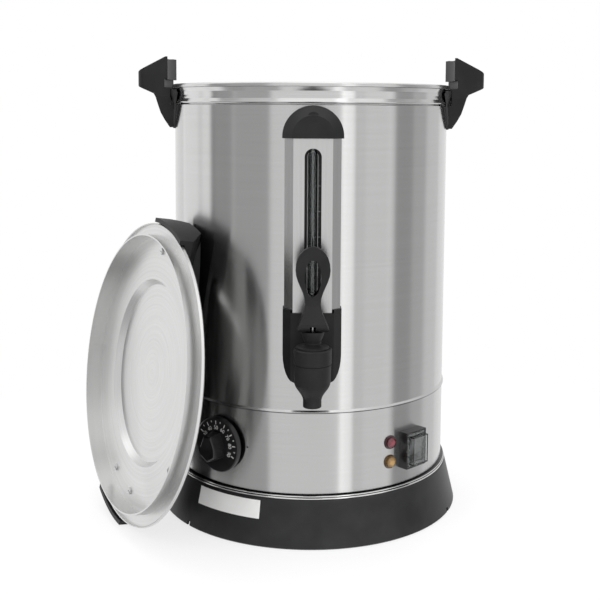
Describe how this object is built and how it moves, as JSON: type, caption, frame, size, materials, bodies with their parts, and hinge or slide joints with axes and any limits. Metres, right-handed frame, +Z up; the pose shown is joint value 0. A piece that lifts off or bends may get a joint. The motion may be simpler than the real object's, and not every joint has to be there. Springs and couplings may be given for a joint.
{
  "type": "hot water urn",
  "caption": "Electric hot water urn: steel double-walled boiler on a black base, with a lever tap, sight gauge, side handles and a loose lid leaning on it.",
  "frame": {"origin": "centre of the base's underside, on the floor plane and on the tank's axis", "axes": "+Z up along the tank's axis, -Y towards the tap and the user, +X to the user's right"},
  "size_m": [0.4463, 0.3959, 0.4943],
  "materials": {
    "black_plastic": "fine grained moulding",
    "black_gloss": "smooth moulding",
    "thin_black": "black plate",
    "brushed_steel": "brushed, the grain running round the body",
    "bright_steel": "bright, spun or polished",
    "zinc_steel": "plated",
    "plate_aluminium": "plain",
    "element_sheath": "dull, heat stained",
    "brass_part": "plain",
    "dark_moulding": "plain",
    "cream_moulding": "smooth",
    "red_lens": "clear red, unlit",
    "amber_lens": "clear amber, unlit",
    "rocker_grey": "ribbed",
    "clear_plastic": "clear moulding",
    "clear_glass": "clear tube",
    "soft_seal": "silicone",
    "wire_cover": "flexible cover",
    "white_label": "blank film"
  },
  "bodies": {
    "urn": {"base_skirt": "black_plastic", "tap_body": "black_plastic", "tap_bonnet": "black_plastic", "tap_shield": "black_plastic", "gauge_cap": "black_plastic", "handle_left": "black_plastic", "handle_right": "black_plastic", "scale_plate": "black_plastic", "switch_housing": "black_gloss", "power_inlet": "black_gloss", "handle_plates": "thin_black", "lower_housing": "brushed_steel", "outer_shell": "brushed_steel", "trim_ring": "bright_steel", "collar_band": "bright_steel", "inner_tank": "bright_steel", "gauge_guard": "bright_steel", "bottom_plate": "zinc_steel", "bottom_screws": "zinc_steel", "flange_screws": "zinc_steel", "press_bar": "zinc_steel", "tank_stud": "zinc_steel", "thermostat_screws": "zinc_steel", "inlet_screws": "zinc_steel", "handle_screws": "zinc_steel", "cap_stud": "zinc_steel", "tap_shank": "zinc_steel", "shank_nut": "zinc_steel", "closing_spring": "zinc_steel", "heat_plate": "plate_aluminium", "heating_element": "element_sheath", "warm_element": "element_sheath", "sensor_bulb": "brass_part", "capillary_tube": "brass_part", "thermal_cutout": "dark_moulding", "thermostat_body": "cream_moulding", "terminal_block": "cream_moulding", "lamp_bodies": "cream_moulding", "red_lamp": "red_lens", "amber_lamp": "amber_lens", "switch_cover": "clear_plastic", "sight_tube": "clear_glass", "tube_seals": "soft_seal", "shank_seals": "soft_seal", "foot_pads": "soft_seal", "wiring": "wire_cover", "label_plate": "white_label"},
    "stem": {"tap_stem": "zinc_steel", "seat_cup": "soft_seal", "lever_pin": "zinc_steel"},
    "lever": {"tap_lever": "black_plastic"},
    "knob": {"control_knob": "black_plastic", "thermostat_spindle": "brass_part"},
    "rocker": {"switch_rocker": "rocker_grey"},
    "lid": {"lid_pan": "bright_steel", "lid_handle": "black_plastic", "lid_screws": "zinc_steel"}
  },
  "joints": [
    {"name": "stem_lift", "type": "slide", "parent": "urn", "child": "stem", "axis": [0, 0, 1], "range_m": [0, 0.006], "deforming": ["closing_spring"]},
    {"name": "lever_tilt", "type": "hinge", "parent": "stem", "child": "lever", "pos_m": [0.00244, -0.19998, 0.2355], "axis": [0.9999, 0.0122, 0], "range_deg": [0, 60], "stiffness_Nm_per_rad": 0.1, "springref_deg": -22.92},
    {"name": "knob_turn", "type": "hinge", "parent": "urn", "child": "knob", "pos_m": [-0.0916, -0.12155, 0.0942], "axis": [0.6018, 0.7986, 0], "range_deg": [0, 270]},
    {"name": "switch_rock", "type": "hinge", "parent": "urn", "child": "rocker", "pos_m": [0.10911, -0.1122, 0.0875], "axis": [0.7169, 0.6972, 0], "range_deg": [-12, 0]},
    {"name": "lid_lift", "type": "slide", "parent": "urn", "child": "lid", "axis": [-0.6674, -0.376, 0.6428], "range_m": [0, 0.3]}
  ],
  "couplings": [
    {"joint": "stem_lift", "follows": "lever_tilt", "m_per_rad": 0.0057296}
  ]
}
